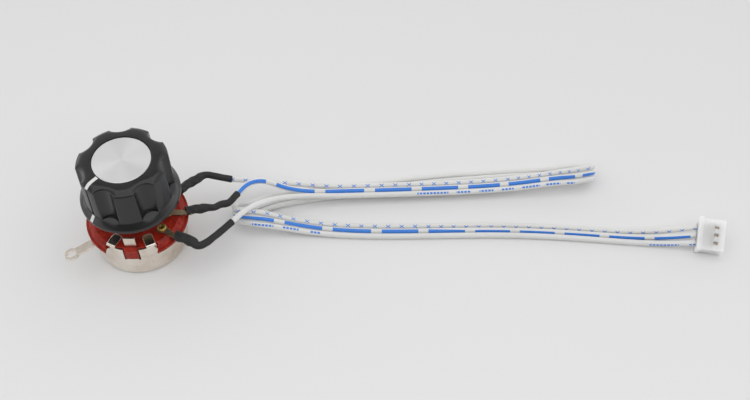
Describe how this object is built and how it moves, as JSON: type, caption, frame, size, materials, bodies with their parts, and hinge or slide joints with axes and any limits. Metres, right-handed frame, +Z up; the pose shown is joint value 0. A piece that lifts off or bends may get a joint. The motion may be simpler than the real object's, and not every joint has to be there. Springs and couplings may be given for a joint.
{
  "type": "rotary panel potentiometer",
  "caption": "Rotary panel potentiometer in a clawed steel can with a red base, fluted pointer knob and a bonded three-wire lead to a crimp connector.",
  "frame": {"origin": "centre of the can's flat floor, on the surface it stands on", "axes": "+Z up along the shaft towards the knob, +X towards the middle terminal and the lead, +Y towards the rear claws"},
  "size_m": [0.2012, 0.0431, 0.0377],
  "materials": {
    "tinned_steel": "satin",
    "red_phenolic": "semi-gloss",
    "bushing_brass": "turned",
    "bright_steel": "plated",
    "carbon": "matt",
    "contact_metal": "satin",
    "rivet_brass": "bright",
    "spring_steel": "oiled black",
    "rotor_laminate": "matt",
    "knob_black": "moulded matt",
    "spun_aluminium": "spun",
    "white_inlay": "satin",
    "shrink_black": "satin",
    "wire_white": "satin, blue ink marks",
    "nylon_white": "satin"
  },
  "bodies": {
    "stator": {"can": "tinned_steel", "base": "red_phenolic", "bushing": "bushing_brass", "lock_washer": "bright_steel", "mounting_nut": "bright_steel", "resistive_track": "carbon", "collector_ring": "contact_metal", "terminal_rear": "contact_metal", "terminal_middle": "contact_metal", "terminal_front": "contact_metal", "terminal_rivets": "rivet_brass", "sleeve_rear": "shrink_black", "sleeve_middle": "shrink_black", "sleeve_front": "shrink_black", "conductor_rear": "wire_white", "conductor_middle": "wire_white", "conductor_front": "wire_white", "connector_housing": "nylon_white", "connector_contacts": "contact_metal"},
    "rotor": {"shaft": "bright_steel", "retaining_ring": "spring_steel", "rotor_disc": "rotor_laminate", "wiper_spring": "contact_metal", "wiper_brush": "carbon", "knob_shell": "knob_black", "knob_insert": "rivet_brass", "set_screw": "spring_steel", "knob_disc": "spun_aluminium", "pointer_inlay": "white_inlay"}
  },
  "joints": [
    {"name": "knob_turn", "type": "hinge", "parent": "stator", "child": "rotor", "pos_m": [0, 0, 0.0123], "axis": [0, 0, 1], "range_deg": [-199, 101]}
  ]
}
